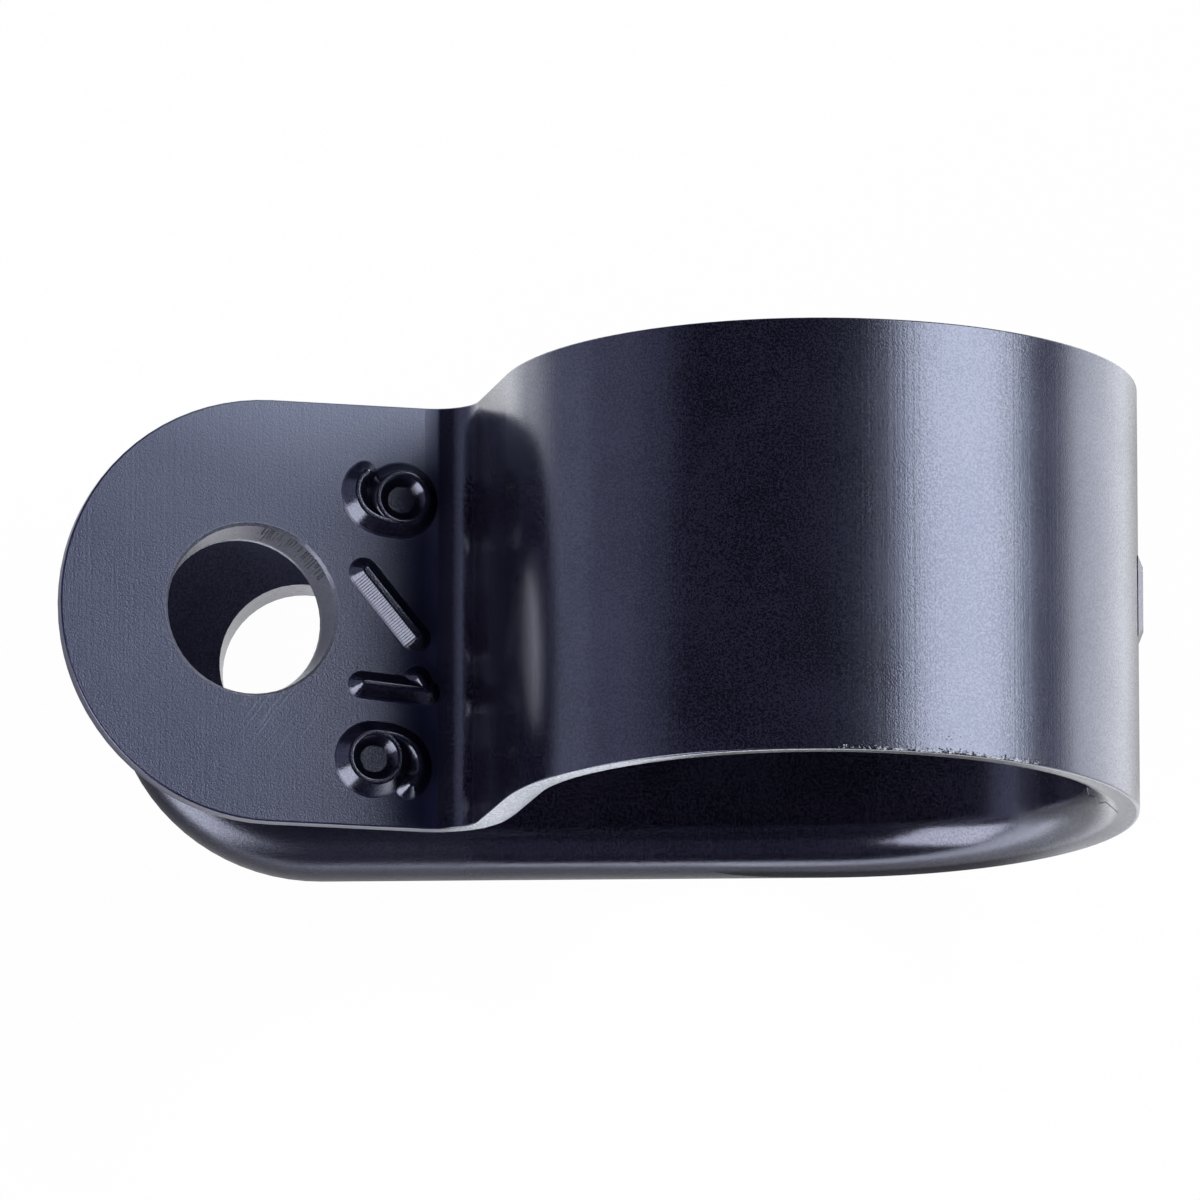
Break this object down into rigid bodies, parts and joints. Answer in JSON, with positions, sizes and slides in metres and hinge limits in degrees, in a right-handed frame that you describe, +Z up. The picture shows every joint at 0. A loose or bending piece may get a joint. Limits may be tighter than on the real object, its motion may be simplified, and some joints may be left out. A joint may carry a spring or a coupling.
{
  "type": "cable clamp",
  "caption": "Moulded strap bent into an open loop that holds a cable, with a screw tab at each end that a screw draws together against a panel.",
  "frame": {"origin": "centre of the lower screw hole, on the flat seat under the clamp", "axes": "+X from the screw hole towards the loop, +Y along the cable, +Z up from the seat"},
  "size_m": [0.0318, 0.0126, 0.0188],
  "materials": {
    "nylon": "black moulded nylon with a satin sheen and fine scuffs"
  },
  "bodies": {
    "root": {"clamp": "nylon"}
  },
  "joints": []
}
